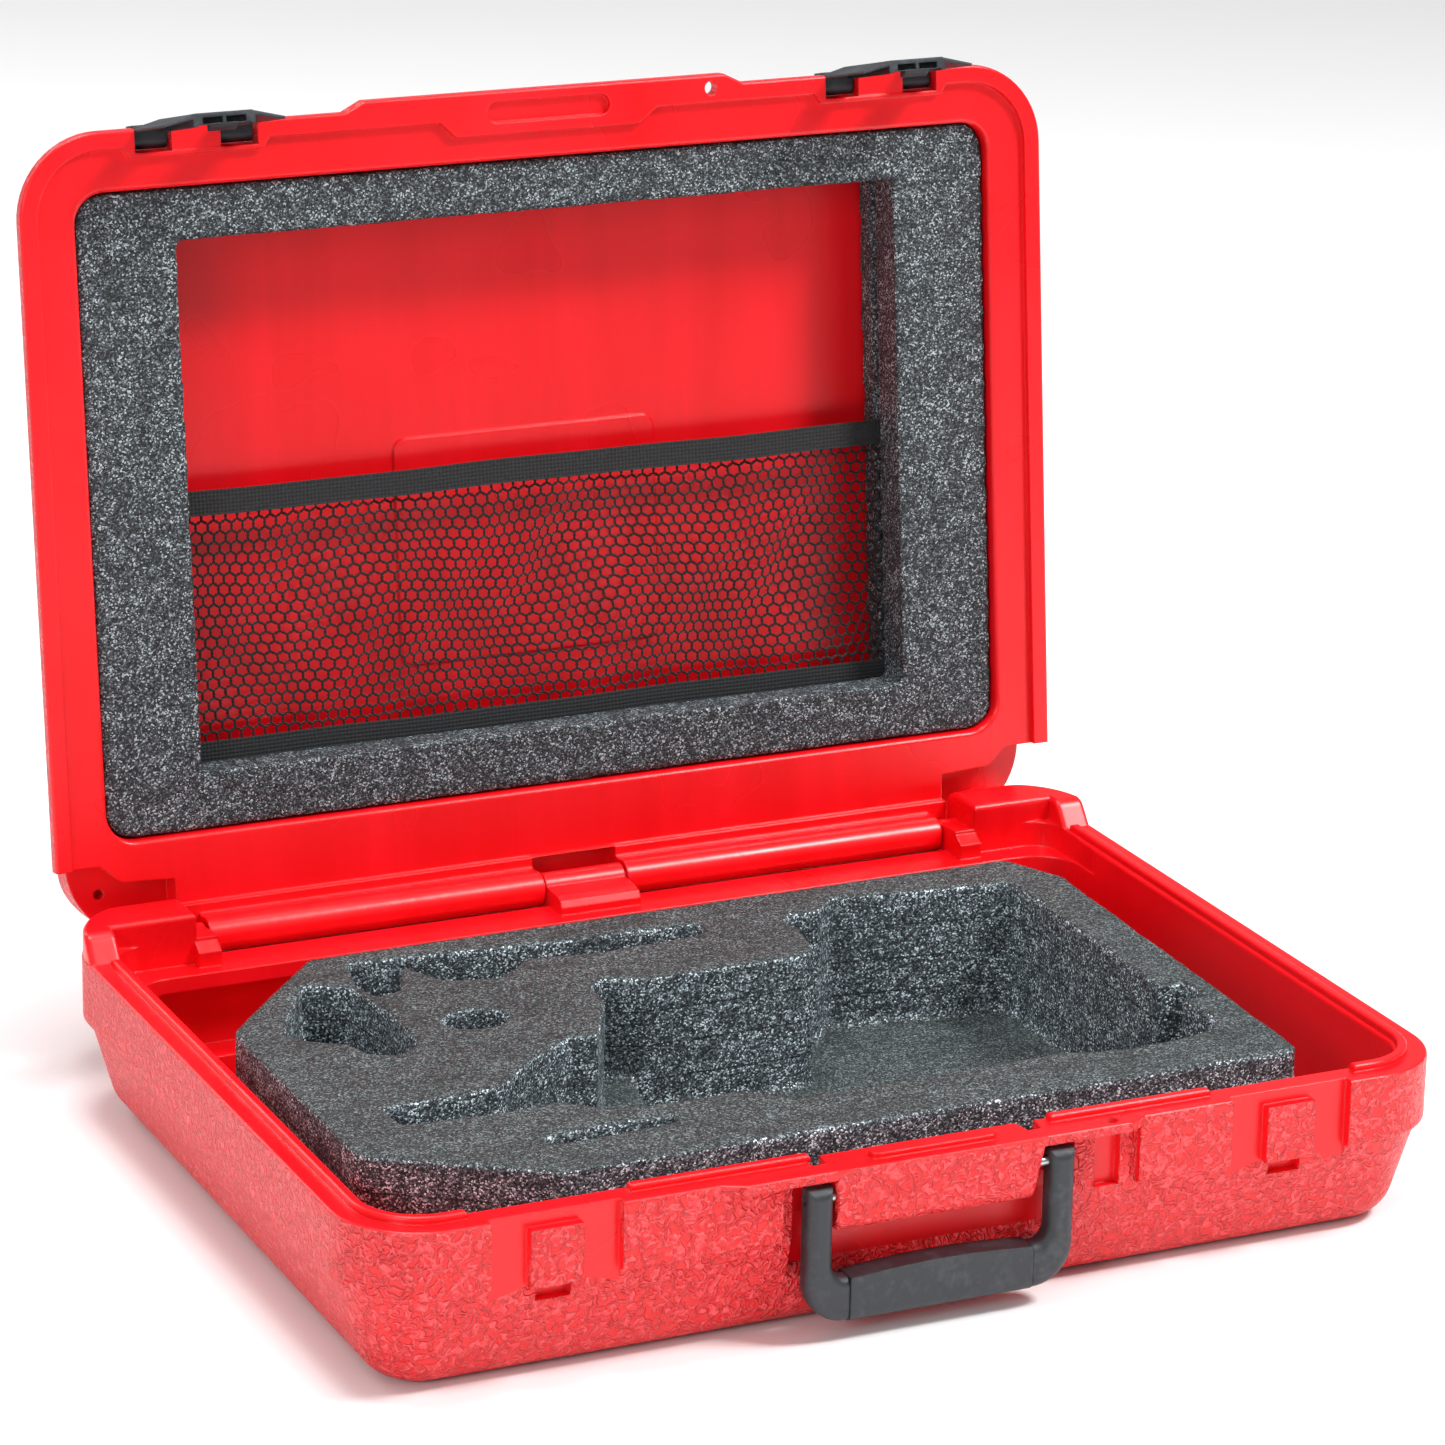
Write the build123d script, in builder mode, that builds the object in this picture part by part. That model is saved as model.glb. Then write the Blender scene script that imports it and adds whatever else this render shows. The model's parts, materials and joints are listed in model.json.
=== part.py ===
from build123d import *
import math
import os

# Hard-shell carrying case with a blow-moulded base and lid, shown with the lid standing open.
# Millimetres. X runs along the width, -Y is the front with the handle, +Z is up.
# The origin is the middle of the base's underside. Inside every frame below, z is
# measured from the rim, the plane on which the lid closes.

# Driving dimensions
WIDTH = 500.0
DEPTH = 372.0
BASE_HEIGHT = 75.0
LID_HEIGHT = 54.0
CORNER = 38.0
FRONT = -DEPTH / 2
REAR = DEPTH / 2
RIM_GAP = 0.4

# Base walls
BAND = 30.0
BAND_STEP = 3.0
BASE_DRAFT = 16.0
BASE_FOOT_FILLET = 18.0
WALL = 15.0
CAVITY_DRAFT = 5.0
FLOOR = 6.0
CAVITY_CORNER = 22.0

# Tongue on the base rim and the step that takes it in the lid
TONGUE_INSET = 8.6
TONGUE_WIDTH = 4.6
TONGUE_HEIGHT = 3.0
STEP_INSET = 8.0
STEP_HEIGHT = 3.6
PAD_STEP = 15.0
RECESS_STEP = 12.6

# Rear shelf, corner humps and hinge
HINGE_Y = REAR - 8.8
HINGE_Z = -6.5
LID_OPEN = 96.2
PIN_RADIUS = 2.5
RUNNING_GAP = 0.06
FIXED_GAP = 0.02
BARREL_RADIUS = 8.0
BARREL_INNER = 21.0
BARREL_OUTER = 184.0
END_GAP = 1.2
KNUCKLE_RADIUS = 6.9
BLOCK_RADIUS = 6.0
HUMP_END = 195.0
HUMP_HEIGHT = 11.4
HUMP_START = 142.6
HUMP_INNER = 158.0
SHELF_Y = 146.0
SHELF_Z = -12.0
CHANNEL_Y = 167.5
CHANNEL_FLOOR = -16.5

# Front lip, handle pad and handle
TAB_LEFT = -88.0
TAB_RIGHT = 88.0
TAB_PROUD = 4.5
TAB_RAMP = 9.0
LIP = 4.0
GRIP_BAY_LEFT = -68.5
GRIP_BAY_RIGHT = 95.0
PAD_LEFT = -46.8
PAD_RIGHT = 43.4
PAD_FLARE_LEFT = 0.5
PAD_FLARE_RIGHT = 6.1
PAD_HEIGHT = 27.0
ARM_SLOT = 8.5
HAND_RECESS = 12.0
HANDLE_X = 1.0
HANDLE_HALF = 61.0
HANDLE_ARM = 11.5
HANDLE_BOTTOM = -66.5
HANDLE_TOP = -6.4
HANDLE_INNER = -48.0
HANDLE_ARCH = 3.0
HANDLE_FACE = -6.5
HANDLE_THICK = 11.0
HANDLE_CORNER = 18.0
HANDLE_ROUND = 4.0
PIVOT_Y = FRONT - 1.0
PIVOT_Z = -12.0
HANDLE_PIN_RADIUS = 2.0
GRIP_HALF = 42.0
GRIP_CORE_WIDTH = 5.0
GRIP_CORE_HEIGHT = 10.0
PADLOCK_X = 81.0
PADLOCK_Y = FRONT + 1.5
PADLOCK_RADIUS = 3.2

# Latches
LATCH_X = 167.5
LATCH_BAY_HALF = 28.5
LATCH_HALF = 27.8
LATCH_CORE = 12.0
LATCH_BAY_BASE = 4.5
LATCH_BAY_LID = 10.6
LATCH_BAY_TOP = 19.5
LUG_HALF = 11.4
LUG_TOP = -6.0
LUG_BOTTOM = -31.0
LATCH_PIN_Y = FRONT + 6.0
LATCH_PIN_Z = 9.0
LATCH_PIN_RADIUS = 1.5
LATCH_TILT = 8.0
LATCH_TOP = 4.0
LATCH_BOTTOM = -47.5
LATCH_FACE = -8.6
LATCH_SKIN = 2.0
LATCH_BARREL = 4.0

# Lid opening and foam
WINDOW_X = 224.0
WINDOW_FRONT = FRONT + 27.0
WINDOW_REAR = FRONT + 319.0
WINDOW_CORNER = 14.0
LID_PANEL = 46.5
LID_DRAFT = 19.0
LID_LIP = 6.0
EAR_START = 142.0
EAR_FACE = 16.0
EAR_HALF = 241.0
EAR_REAR = 180.5
EAR_HOLE_RADIUS = 2.3
FOAM_GAP = 1.2
FOAM_WINDOW_X = 176.6
FOAM_WINDOW_FRONT = FRONT + 51.5
FOAM_WINDOW_REAR = FRONT + 292.0
LID_FOAM_FRONT = 8.0
LID_FOAM_SPLIT = 29.0
POCKET_BAND = 11.6
POCKET_TOP = FRONT + 168.0
POCKET_BOTTOM = FRONT + 283.5

# Base foam: a floor pad and four laminated sheets with cut-outs
PAD_THICK = 8.0
SHEET_COUNT = 4
SHEET_THICK = 15.9
SHEET_PITCH = 16.1


def opened(y, z):
    """World (y, z) of the point that lies at y and z above the rim when the lid is shut."""
    turn = math.radians(LID_OPEN)
    dy = y - HINGE_Y
    dz = z - HINGE_Z
    world_y = HINGE_Y + math.cos(turn) * dy + math.sin(turn) * dz
    world_z = HINGE_Z - math.sin(turn) * dy + math.cos(turn) * dz
    return world_y, world_z + BASE_HEIGHT


def turned_frame(x, y, z, extra=0.0):
    """Frame that rides on the open lid, at a point given in the shut position."""
    turn = math.radians(LID_OPEN + extra)
    world_y, world_z = opened(y, z)
    return Plane((x, world_y, world_z), x_dir=(1, 0, 0), z_dir=(0, math.sin(turn), math.cos(turn)))


BASE = Plane((0, 0, BASE_HEIGHT))
LID = turned_frame(0, 0, 0)


def side_plane(frame, x):
    """Section plane of a frame at x; its sketch axes are the frame's y and z."""
    return Plane(frame.from_local_coords((x, 0, 0)), x_dir=frame.y_dir, z_dir=frame.x_dir)


def along_x(frame, y, z, x):
    """Plane facing +x at a point of a frame, for pins and bores."""
    return Plane(frame.from_local_coords((x, y, z)), x_dir=frame.y_dir, z_dir=frame.x_dir)


def tab_outline():
    """Points of the front tab that both rims share, from left to right."""
    proud = FRONT - TAB_PROUD
    inside = FRONT + 4.0
    return [
        (TAB_LEFT - TAB_RAMP, inside),
        (TAB_LEFT - TAB_RAMP, FRONT),
        (TAB_LEFT, proud),
        (TAB_RIGHT, proud),
        (TAB_RIGHT + TAB_RAMP, FRONT),
        (TAB_RIGHT + TAB_RAMP, inside),
    ]


def save(builder, name):
    """Label a finished piece and write its STEP file."""
    builder.part.label = name
    export_step(builder.part, f"parts/{name}.step")


os.makedirs("parts", exist_ok=True)

# ---------------------------------------------------------------- base shell
# Corner humps: the side walls rise above the rim at both rear corners and carry the pins.
with BuildPart() as humps:
    with BuildSketch(BASE.offset(-22)):
        RectangleRounded(WIDTH - 1, DEPTH - 1, CORNER - 0.5)
        with Locations((0, 0)):
            Rectangle(2 * (WIDTH / 2 - WALL), 2 * HUMP_INNER, mode=Mode.SUBTRACT)
        Rectangle(2 * HUMP_END, 2 * DEPTH, mode=Mode.SUBTRACT)
        with Locations((0, -DEPTH / 2 + HUMP_START / 2)):
            Rectangle(2 * WIDTH, DEPTH + HUMP_START, mode=Mode.SUBTRACT)
    extrude(amount=22 + HUMP_HEIGHT)
    with BuildSketch(side_plane(BASE, -WIDTH)) as hump_profile:
        with BuildLine():
            Polyline(
                (REAR + 1, HUMP_HEIGHT - 3.6),
                (REAR + 1, -23),
                (HUMP_START, -23),
                (HUMP_START, 0),
                (HUMP_START + 6.5, HUMP_HEIGHT - 3.0),
            )
            ThreePointArc(
                (HUMP_START + 6.5, HUMP_HEIGHT - 3.0),
                (HUMP_START + 9.0, HUMP_HEIGHT - 0.8),
                (HUMP_START + 13.5, HUMP_HEIGHT),
            )
            Line((HUMP_START + 13.5, HUMP_HEIGHT), (HINGE_Y, HUMP_HEIGHT))
            ThreePointArc(
                (HINGE_Y, HUMP_HEIGHT),
                (HINGE_Y + 5.5, HUMP_HEIGHT - 0.9),
                (REAR + 1, HUMP_HEIGHT - 3.6),
            )
        make_face()
    extrude(amount=2 * WIDTH, mode=Mode.INTERSECT)
    fillet(humps.edges().filter_by(lambda e: e.bounding_box().min.Z > BASE_HEIGHT + 1), 2.2)

# Front wall behind the handle, kept apart so that it can be joined in one step.
with BuildPart() as handle_pad:
    with BuildSketch(Plane((0, FRONT - TAB_PROUD, BASE_HEIGHT), x_dir=(1, 0, 0), z_dir=(0, -1, 0))):
        with BuildLine():
            Polyline(
                (PAD_LEFT - PAD_FLARE_LEFT, 0),
                (PAD_LEFT, -PAD_HEIGHT),
                (PAD_RIGHT, -PAD_HEIGHT),
                (PAD_RIGHT + PAD_FLARE_RIGHT, 0),
                close=True,
            )
        make_face()
    extrude(amount=-(TAB_PROUD + WALL))
    fillet(handle_pad.edges().filter_by(Axis.X).group_by(Axis.Z)[0].sort_by(Axis.Y)[0], 4)
    front_edges = handle_pad.faces().sort_by(Axis.Y)[0].edges()
    side_edges = front_edges.filter_by(lambda e: 15 < e.length < 40)
    fillet(side_edges, 2)

with BuildPart() as base_shell:
    # Rim band
    with BuildSketch(BASE.offset(-BAND)):
        RectangleRounded(WIDTH, DEPTH, CORNER)
    extrude(amount=BAND)
    fillet(base_shell.faces().sort_by(Axis.Z)[0].edges(), 2.0)
    # Tapered body under the band
    with BuildSketch(BASE.offset(-LIP)):
        RectangleRounded(WIDTH - 2 * BAND_STEP, DEPTH - 2 * BAND_STEP, CORNER - BAND_STEP)
    extrude(amount=-(BAND - LIP))
    with BuildSketch(BASE.offset(-BAND)):
        RectangleRounded(WIDTH - 2 * BAND_STEP, DEPTH - 2 * BAND_STEP, CORNER - BAND_STEP)
    extrude(amount=-(BASE_HEIGHT - BAND), taper=BASE_DRAFT)
    fillet(base_shell.faces().sort_by(Axis.Z)[0].edges(), BASE_FOOT_FILLET)
    # Band left out in front, where the handle and the padlock hang
    with BuildSketch(BASE.offset(-LIP)):
        with Locations(((GRIP_BAY_LEFT + GRIP_BAY_RIGHT) / 2, FRONT)):
            Rectangle(GRIP_BAY_RIGHT - GRIP_BAY_LEFT, 2 * BAND_STEP)
    extrude(amount=-BAND, mode=Mode.SUBTRACT)
    # Front tab on the rim
    with BuildSketch(BASE.offset(-LIP)):
        with BuildLine():
            Polyline(*tab_outline(), close=True)
        make_face()
    extrude(amount=LIP)
    rim = base_shell.faces().sort_by(Axis.Z)[-1]
    fillet(rim.edges(), 1.4)
    # Slots for the handle's arms and the hand recess between them
    with BuildSketch(BASE.offset(-LIP)):
        for arm_x in (HANDLE_X - HANDLE_HALF + HANDLE_ARM / 2, HANDLE_X + HANDLE_HALF - HANDLE_ARM / 2):
            with Locations((arm_x, FRONT)):
                Rectangle(HANDLE_ARM + 7, 2 * ARM_SLOT)
    extrude(amount=-44, mode=Mode.SUBTRACT)
    with BuildSketch(side_plane(BASE, HANDLE_X - HANDLE_HALF - 2)) as hand_recess:
        with BuildLine():
            Polyline(
                (FRONT - 8, -PAD_HEIGHT + 6),
                (FRONT + HAND_RECESS - 2, -PAD_HEIGHT + 6),
                (FRONT + HAND_RECESS, -PAD_HEIGHT - 2),
                (FRONT + HAND_RECESS, -44),
                (FRONT + 5, -54),
                (FRONT - 8, -56),
                close=True,
            )
        make_face()
    extrude(amount=2 * HANDLE_HALF + 4, mode=Mode.SUBTRACT)
    add(handle_pad.part)
    # Latch bays with their lugs and the pockets under the lugs
    with BuildSketch(BASE.offset(1)):
        with Locations((-LATCH_X, FRONT), (LATCH_X, FRONT)):
            Rectangle(2 * LATCH_BAY_HALF, 2 * LATCH_BAY_BASE)
    extrude(amount=-60, mode=Mode.SUBTRACT)
    with BuildSketch(BASE.offset(LUG_BOTTOM)):
        with Locations((-LATCH_X, FRONT + 3), (LATCH_X, FRONT + 3)):
            Rectangle(2 * LUG_HALF, 6)
    extrude(amount=LUG_TOP - LUG_BOTTOM)
    with BuildSketch(BASE.offset(LUG_BOTTOM)):
        with Locations((-LATCH_X, FRONT + 2), (LATCH_X, FRONT + 2)):
            Rectangle(15.4, 15)
    extrude(amount=-7.5, mode=Mode.SUBTRACT)
    # Cavity
    with BuildSketch(BASE):
        with Locations((0, (FRONT + WALL + SHELF_Y) / 2)):
            RectangleRounded(WIDTH - 2 * WALL, SHELF_Y - FRONT - WALL, CAVITY_CORNER)
    extrude(amount=-(BASE_HEIGHT - FLOOR), taper=CAVITY_DRAFT, mode=Mode.SUBTRACT)
    level_faces = base_shell.faces().filter_by(Plane.XY)
    floor_face = level_faces.filter_by(lambda f: abs(f.center().Z - FLOOR) < 0.1)[0]
    fillet(floor_face.edges(), 7)
    cavity_rim = base_shell.edges().filter_by(
        lambda e: abs(e.bounding_box().min.Z - BASE_HEIGHT) < 0.01
        and abs(e.center().X) < WIDTH / 2 - WALL + 0.1
        and FRONT + WALL - 0.1 < e.center().Y < SHELF_Y + 0.1
    )
    fillet(cavity_rim, 1.8)
    # Relief under the rear shelf
    with BuildSketch(BASE.offset(-19)):
        with Locations((0, (100 + HUMP_INNER) / 2)):
            RectangleRounded(2 * 218, HUMP_INNER - 100, 10)
    extrude(amount=-32, mode=Mode.SUBTRACT)
    # Open space above the rear shelf
    with BuildSketch(BASE.offset(SHELF_Z)):
        with Locations((0, (100 + HUMP_INNER) / 2)):
            RectangleRounded(WIDTH - 2 * WALL, HUMP_INNER - 100, 14)
        with Locations((0, 150)):
            Rectangle(2 * (BARREL_OUTER + END_GAP), 90)
    extrude(amount=-SHELF_Z + 1, mode=Mode.SUBTRACT)
    add(humps.part)
    # Channel for the lid's hinge barrels, open to the rear
    with BuildSketch(side_plane(BASE, -HUMP_END)):
        with BuildLine():
            Polyline(
                (CHANNEL_Y, 20),
                (CHANNEL_Y, CHANNEL_FLOOR),
                (REAR + 1, CHANNEL_FLOOR - 0.8),
                (REAR + 1, 20),
                close=True,
            )
        make_face()
    extrude(amount=2 * HUMP_END, mode=Mode.SUBTRACT)
    # Blocks that hold the outer ends of the pins
    for block_x in (-HUMP_END - 1, BARREL_OUTER + END_GAP):
        with BuildSketch(side_plane(BASE, block_x)):
            with Locations((HINGE_Y, HINGE_Z)):
                Circle(BLOCK_RADIUS)
            with BuildLine():
                Polyline(
                    (HUMP_INNER - 6, -22),
                    (HUMP_INNER - 6, -5),
                    (HUMP_INNER + 1, -1),
                    (HINGE_Y, -1),
                    (HINGE_Y + BLOCK_RADIUS - 0.4, HINGE_Z),
                    (HINGE_Y + BLOCK_RADIUS - 0.4, -24),
                    close=True,
                )
            make_face()
        extrude(amount=HUMP_END + 1 - BARREL_OUTER - END_GAP)
    # Centre knuckle
    with BuildSketch(side_plane(BASE, -BARREL_INNER + END_GAP)):
        with Locations((HINGE_Y, HINGE_Z)):
            Circle(KNUCKLE_RADIUS)
        with BuildLine():
            Polyline(
                (SHELF_Y + 7, -16),
                (SHELF_Y + 7, -8.5),
                (SHELF_Y + 9, -5.6),
                (SHELF_Y + 13, -4.6),
                (HINGE_Y - 6, -4.0),
                (HINGE_Y - 4, -2.2),
                (HINGE_Y + KNUCKLE_RADIUS - 1, HINGE_Z),
                (HINGE_Y + KNUCKLE_RADIUS - 1, -28),
                close=True,
            )
        make_face()
    extrude(amount=2 * (BARREL_INNER - END_GAP))
    # Tongue that keys into the lid, left out at the latches and at the handle
    with BuildSketch(BASE):
        inset = 2 * TONGUE_INSET
        RectangleRounded(WIDTH - inset, DEPTH - inset, CORNER - TONGUE_INSET)
        inner = 2 * (TONGUE_INSET + TONGUE_WIDTH)
        RectangleRounded(WIDTH - inner, DEPTH - inner, CORNER - inner / 2, mode=Mode.SUBTRACT)
        with Locations((0, 140 + DEPTH / 2)):
            Rectangle(2 * WIDTH, DEPTH, mode=Mode.SUBTRACT)
        with Locations((-LATCH_X, FRONT), (LATCH_X, FRONT)):
            Rectangle(2 * LATCH_BAY_HALF + 13, 60, mode=Mode.SUBTRACT)
        with Locations((2, FRONT)):
            Rectangle(110, 60, mode=Mode.SUBTRACT)
    extrude(amount=TONGUE_HEIGHT)
    fillet(base_shell.faces().filter_by(Plane.XY).group_by(Axis.Z)[-2].edges(), 1.4)
    # Notches in the ledge beside the handle pad
    with BuildSketch(BASE.offset(-9)):
        for inner, outer in ((PAD_LEFT + 1, PAD_LEFT - 9), (PAD_RIGHT - 1, PAD_RIGHT + 9)):
            with BuildLine():
                Polyline(
                    (inner + (outer - inner) * 0.2, FRONT + 5),
                    (inner, FRONT + WALL + 2),
                    (outer, FRONT + WALL + 2),
                    (inner + (outer - inner) * 0.8, FRONT + 5),
                    close=True,
                )
            make_face()
    extrude(amount=9, mode=Mode.SUBTRACT)
    # Oval boss on the handle pad
    with BuildSketch(BASE):
        with Locations((0.5, FRONT + 5)):
            SlotOverall(58, 7.5)
    extrude(amount=2.4)
    # Padlock hole
    with BuildSketch(BASE.offset(1)):
        with Locations((PADLOCK_X, PADLOCK_Y)):
            Circle(PADLOCK_RADIUS)
    extrude(amount=-LIP - 1.5, mode=Mode.SUBTRACT)
    with BuildSketch(BASE.offset(-LIP)):
        with Locations((PADLOCK_X, FRONT + 1)):
            Rectangle(12, 12)
    extrude(amount=-BAND + LIP, mode=Mode.SUBTRACT)
    # Bores for the hinge pins and the handle's pins
    with BuildSketch(side_plane(BASE, -WIDTH / 2 + 50)):
        with Locations((HINGE_Y, HINGE_Z)):
            Circle(PIN_RADIUS + FIXED_GAP)
    extrude(amount=WIDTH - 100, mode=Mode.SUBTRACT)
    for bore_x in (PAD_LEFT - PAD_FLARE_LEFT - 1, PAD_RIGHT + PAD_FLARE_RIGHT - 14):
        with BuildSketch(side_plane(BASE, bore_x)):
            with Locations((PIVOT_Y, PIVOT_Z)):
                Circle(HANDLE_PIN_RADIUS + RUNNING_GAP)
        extrude(amount=15, mode=Mode.SUBTRACT)
save(base_shell, "base_shell")

# ---------------------------------------------------------------- hinge pins
for side, pin_start in (("left", -HUMP_END + 1.5), ("right", 1.0)):
    with BuildPart() as hinge_pin:
        with BuildSketch(side_plane(BASE, pin_start)):
            with Locations((HINGE_Y, HINGE_Z)):
                Circle(PIN_RADIUS)
        extrude(amount=HUMP_END - 2.5)
        chamfer(hinge_pin.edges().filter_by(GeomType.CIRCLE), 0.4)
    save(hinge_pin, f"hinge_pin_{side}")

# ---------------------------------------------------------------- lid shell
with BuildPart() as lid_shell:
    # Lip and tapered shell
    with BuildSketch(LID.offset(RIM_GAP)):
        RectangleRounded(WIDTH, DEPTH, CORNER)
    extrude(amount=LID_LIP - RIM_GAP)
    with BuildSketch(LID.offset(LID_LIP)):
        RectangleRounded(WIDTH - 3, DEPTH - 3, CORNER - 1.5)
    extrude(amount=LID_HEIGHT - LID_LIP, taper=LID_DRAFT)
    lid_up = Axis(LID.origin, LID.z_dir)
    fillet(lid_shell.faces().sort_by(lid_up)[-1].edges(), 14)
    # Front tab
    with BuildSketch(LID.offset(RIM_GAP)):
        with BuildLine():
            Polyline(*tab_outline(), close=True)
        make_face()
    extrude(amount=7)
    lid_rim = lid_shell.faces().sort_by(lid_up)[0]
    fillet(lid_rim.edges(), 1.3)
    # Ledge, stepped back so that the base's tongue fits under it
    with BuildSketch(LID):
        RectangleRounded(WIDTH - 2 * STEP_INSET, DEPTH - 2 * STEP_INSET, CORNER - STEP_INSET)
        with Locations((0, 164 + DEPTH / 2)):
            Rectangle(2 * WIDTH, DEPTH, mode=Mode.SUBTRACT)
        with BuildLine():
            Polyline(
                (-52, FRONT),
                (-52, FRONT + STEP_INSET),
                (-45, FRONT + PAD_STEP),
                (45, FRONT + PAD_STEP),
                (54, FRONT + STEP_INSET),
                (55, FRONT),
                close=True,
            )
        make_face(mode=Mode.SUBTRACT)
        for bay_x in (-LATCH_X, LATCH_X):
            with BuildLine():
                Polyline(
                    (bay_x - 34, FRONT),
                    (bay_x - 34, FRONT + STEP_INSET),
                    (bay_x - 31, FRONT + RECESS_STEP),
                    (bay_x + 31, FRONT + RECESS_STEP),
                    (bay_x + 34, FRONT + STEP_INSET),
                    (bay_x + 34, FRONT),
                    close=True,
                )
            make_face(mode=Mode.SUBTRACT)
    extrude(amount=STEP_HEIGHT, mode=Mode.SUBTRACT)
    # Foam compartment
    with BuildSketch(LID):
        with Locations((0, (WINDOW_FRONT + WINDOW_REAR) / 2)):
            RectangleRounded(2 * WINDOW_X, WINDOW_REAR - WINDOW_FRONT, WINDOW_CORNER)
    extrude(amount=LID_PANEL, taper=1, mode=Mode.SUBTRACT)
    window_edge = lid_shell.edges().filter_by(
        lambda e: abs(LID.to_local_coords(e.center()).Z - STEP_HEIGHT) < 0.05
        and abs(LID.to_local_coords(e.center()).X) < WINDOW_X + 1
        and WINDOW_FRONT - 1 < LID.to_local_coords(e.center()).Y < WINDOW_REAR + 1
    )
    fillet(window_edge, 2.0)
    # Raised plate on the back panel, behind the pocket
    with BuildSketch(LID.offset(LID_PANEL - 1.2)):
        with Locations((1.5, FRONT + 210)):
            RectangleRounded(131, 107, 6)
    extrude(amount=2)
    plate = lid_shell.faces().filter_by(
        lambda f: abs(LID.to_local_coords(f.center()).Z - LID_PANEL + 1.2) < 0.05
    )[0]
    fillet(plate.edges(), 0.8)
    # Notches that clear the base's corner humps, and the ears above them
    for hand in (-1, 1):
        with BuildSketch(LID.offset(-1)) as notch:
            with BuildLine():
                Polyline(
                    (hand * 252, EAR_START),
                    (hand * 228, EAR_START),
                    (hand * 219, 150.5),
                    (hand * (HUMP_END - 1.5), 152.0),
                    (hand * (HUMP_END - 1.5), REAR + 2),
                    (hand * 252, REAR + 2),
                    close=True,
                )
            make_face()
            fillet(notch.vertices().filter_by(lambda v: 215 < abs(v.X) < 235), 5)
        extrude(amount=1 + EAR_FACE, mode=Mode.SUBTRACT)
        with BuildSketch(LID.offset(EAR_FACE - 1)):
            with Locations((hand * (HUMP_END + 30), EAR_START + 30)):
                Rectangle(63, 60)
            RectangleRounded(2 * EAR_HALF, 2 * EAR_REAR, CORNER, mode=Mode.SUBTRACT)
        extrude(amount=25, mode=Mode.SUBTRACT)
    # Hinge barrels
    for barrel_x in (-BARREL_OUTER, BARREL_INNER):
        with BuildSketch(side_plane(LID, barrel_x)):
            with Locations((HINGE_Y, HINGE_Z)):
                Circle(BARREL_RADIUS)
            with BuildLine():
                Polyline(
                    (HINGE_Y - 13.5, STEP_HEIGHT + 2),
                    (HINGE_Y - 13.5, STEP_HEIGHT - 0.1),
                    (HINGE_Y - 9.3, STEP_HEIGHT - 1.4),
                    (HINGE_Y - BARREL_RADIUS + 0.3, HINGE_Z + 4.5),
                    (HINGE_Y - BARREL_RADIUS, HINGE_Z),
                    (HINGE_Y + BARREL_RADIUS, HINGE_Z),
                    (HINGE_Y + BARREL_RADIUS, STEP_HEIGHT + 2),
                    close=True,
                )
            make_face()
        extrude(amount=BARREL_OUTER - BARREL_INNER)
    # Slot that clears the base's centre knuckle
    with BuildSketch(side_plane(LID, -BARREL_INNER)):
        with Locations((HINGE_Y - 2, HINGE_Z + 3)):
            Rectangle(22, 26)
    extrude(amount=2 * BARREL_INNER, mode=Mode.SUBTRACT)
    # Latch bays, open to the front and to the rim
    with BuildSketch(LID.offset(-1)):
        with Locations((-LATCH_X, FRONT), (LATCH_X, FRONT)):
            Rectangle(2 * LATCH_BAY_HALF, 2 * LATCH_BAY_LID)
    extrude(amount=1 + LATCH_BAY_TOP, mode=Mode.SUBTRACT)
    # Lugs that the latches turn on
    for bay_x in (-LATCH_X, LATCH_X):
        with BuildSketch(side_plane(LID, bay_x - LUG_HALF)):
            with Locations((LATCH_PIN_Y, LATCH_PIN_Z)):
                Circle(6)
            with Locations((FRONT + 6, 5)):
                Rectangle(12, 8)
            with Locations((FRONT + 9.5, LATCH_PIN_Z)):
                Rectangle(5, 12)
        extrude(amount=2 * LUG_HALF)
        with BuildSketch(side_plane(LID, bay_x - LUG_HALF - 1)):
            with Locations((LATCH_PIN_Y, LATCH_PIN_Z)):
                Circle(LATCH_PIN_RADIUS + FIXED_GAP)
        extrude(amount=2 * LUG_HALF + 2, mode=Mode.SUBTRACT)
    # Oval pocket for the pad's boss
    with BuildSketch(LID):
        with Locations((0.5, FRONT + 5)):
            SlotOverall(60, 9.5)
    extrude(amount=3.4, mode=Mode.SUBTRACT)
    # Padlock hole, relieved above the tab
    with BuildSketch(LID):
        with Locations((PADLOCK_X, PADLOCK_Y)):
            Circle(PADLOCK_RADIUS)
    extrude(amount=LID_HEIGHT, mode=Mode.SUBTRACT)
    with BuildSketch(LID.offset(7 + RIM_GAP)):
        with Locations((PADLOCK_X, PADLOCK_Y - 3)):
            Circle(10)
    extrude(amount=LID_HEIGHT, mode=Mode.SUBTRACT)
    # Bore for the hinge pins
    with BuildSketch(side_plane(LID, -WIDTH / 2)):
        with Locations((HINGE_Y, HINGE_Z)):
            Circle(PIN_RADIUS + RUNNING_GAP)
    extrude(amount=WIDTH, mode=Mode.SUBTRACT)
    # Small blind hole in the left ear only
    with BuildSketch(LID.offset(EAR_FACE - 1)):
        with Locations((-226, 158)):
            Circle(EAR_HOLE_RADIUS)
    extrude(amount=7, mode=Mode.SUBTRACT)
save(lid_shell, "lid_shell")

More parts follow.
